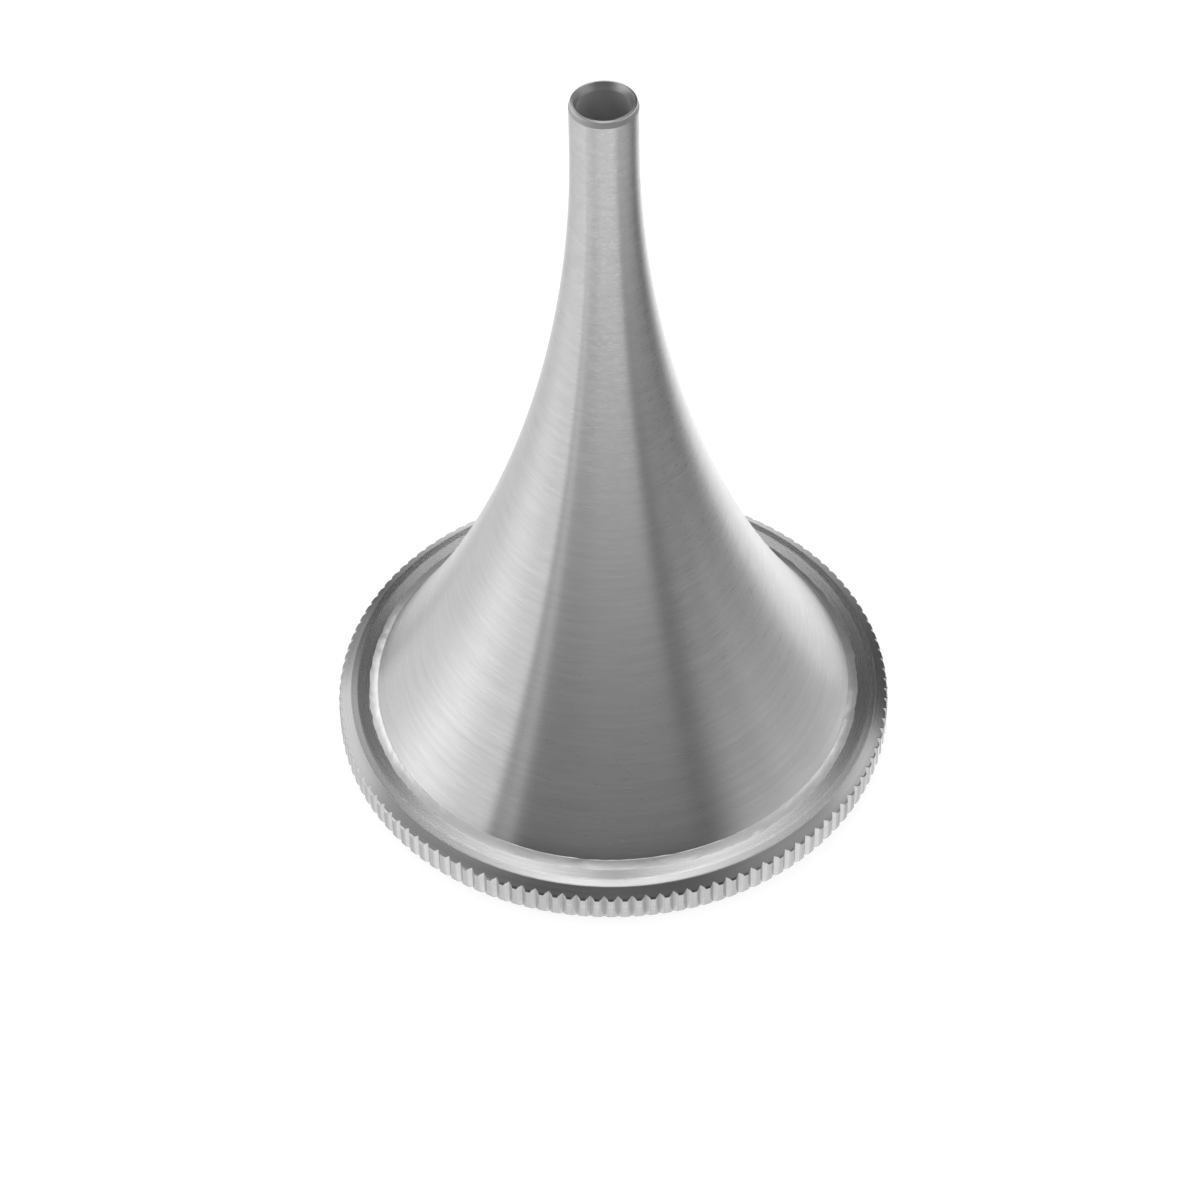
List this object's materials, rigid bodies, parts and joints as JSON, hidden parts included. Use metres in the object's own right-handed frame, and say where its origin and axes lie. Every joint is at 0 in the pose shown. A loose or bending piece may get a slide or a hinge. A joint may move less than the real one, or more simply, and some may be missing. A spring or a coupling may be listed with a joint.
{
  "type": "ear speculum",
  "caption": "Trumpet-shaped steel ear speculum: a thin flared funnel with a narrow straight tip, brazed into a turned rim ring with a milled gripping edge.",
  "frame": {"origin": "centre of the rim ring's underside, on the axis, on the surface the speculum stands on", "axes": "+Z along the funnel's axis towards the narrow tip; X and Y lie in the rest face, all directions round the axis alike"},
  "size_m": [0.0314, 0.0314, 0.0444],
  "materials": {
    "spun_steel": "satin, fine marks round the axis",
    "turned_steel": "turned, with a milled edge",
    "braze_metal": "bright, as brazed"
  },
  "bodies": {
    "root": {"funnel": "spun_steel", "rim_ring": "turned_steel", "solder_seam": "braze_metal"}
  },
  "joints": []
}
